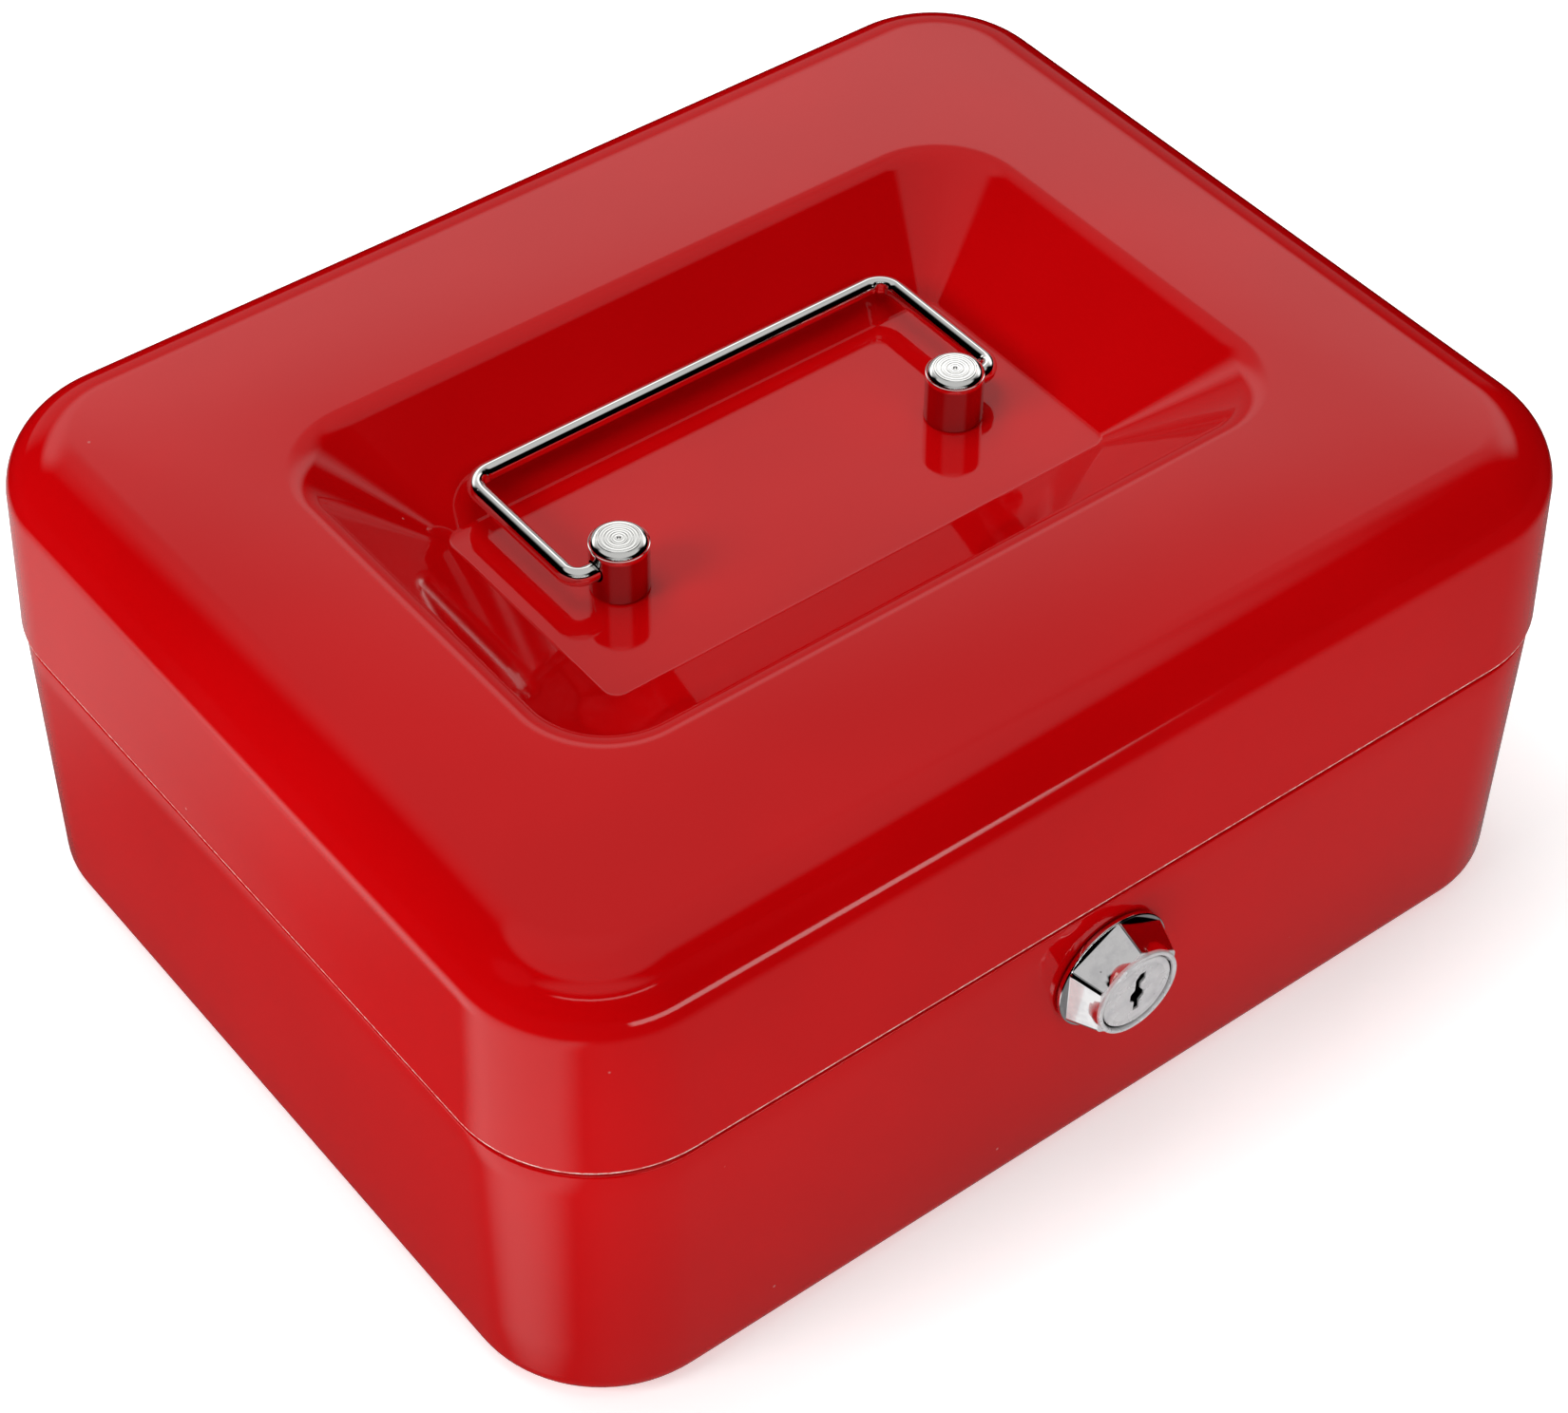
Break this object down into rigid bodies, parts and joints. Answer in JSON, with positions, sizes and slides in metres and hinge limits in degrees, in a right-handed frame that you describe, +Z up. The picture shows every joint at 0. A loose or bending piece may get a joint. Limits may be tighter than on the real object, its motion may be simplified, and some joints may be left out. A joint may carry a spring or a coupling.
{
  "type": "cash box",
  "caption": "Small lockable steel cash box with a hinged lid, a bail handle folded in a well, a cam lock in the front and a lift-out coin tray.",
  "frame": {"origin": "centre of the bottom face, on the surface the box stands on", "axes": "+Z up, -Y towards the lock side, +X along the long side to the right seen from the front"},
  "size_m": [0.2, 0.1706, 0.09],
  "materials": {
    "red_paint": "high-gloss red powder coat on drawn steel",
    "chrome": "bright chrome plate",
    "zinc_steel": "zinc-plated steel, slightly dull",
    "brass": "stamped brass",
    "black_plastic": "fine-textured black moulding"
  },
  "bodies": {
    "box": {"box_body": "red_paint", "hinge_leaf_body": "red_paint", "hinge_pin": "zinc_steel", "hinge_rivet_body_1": "red_paint", "hinge_rivet_body_2": "red_paint", "hinge_rivet_body_3": "red_paint", "lock_housing": "chrome", "lock_nut": "zinc_steel"},
    "lid": {"lid_shell": "red_paint", "hinge_leaf_lid": "red_paint", "hinge_rivet_lid_1": "red_paint", "hinge_rivet_lid_2": "red_paint", "hinge_rivet_lid_3": "red_paint", "handle_post_left": "chrome", "handle_post_right": "chrome", "post_washer_left": "zinc_steel", "post_washer_right": "zinc_steel", "lock_strike": "zinc_steel"},
    "handle": {"handle_bail": "chrome"},
    "lock": {"lock_plug": "chrome", "lock_cam": "zinc_steel", "cam_washer": "zinc_steel", "cam_screw": "zinc_steel", "lock_wafer_1": "brass", "lock_wafer_2": "brass", "lock_wafer_3": "brass", "lock_wafer_4": "brass"},
    "tray": {"coin_tray": "black_plastic"}
  },
  "joints": [
    {"name": "lid_hinge", "type": "hinge", "parent": "box", "child": "lid", "pos_m": [0, 0.0822, 0.054], "axis": [-1, 0, 0], "range_deg": [0, 105]},
    {"name": "handle_pivot", "type": "hinge", "parent": "lid", "child": "handle", "pos_m": [0, -0.002, 0.081], "axis": [1, 0, 0], "range_deg": [0, 165]},
    {"name": "lock_turn", "type": "hinge", "parent": "box", "child": "lock", "pos_m": [0, -0.07985, 0.038], "axis": [0, 1, 0], "range_deg": [0, 90]},
    {"name": "tray_lift", "type": "slide", "parent": "box", "child": "tray", "axis": [0, 0, 1], "range_m": [0, 0.006]}
  ]
}
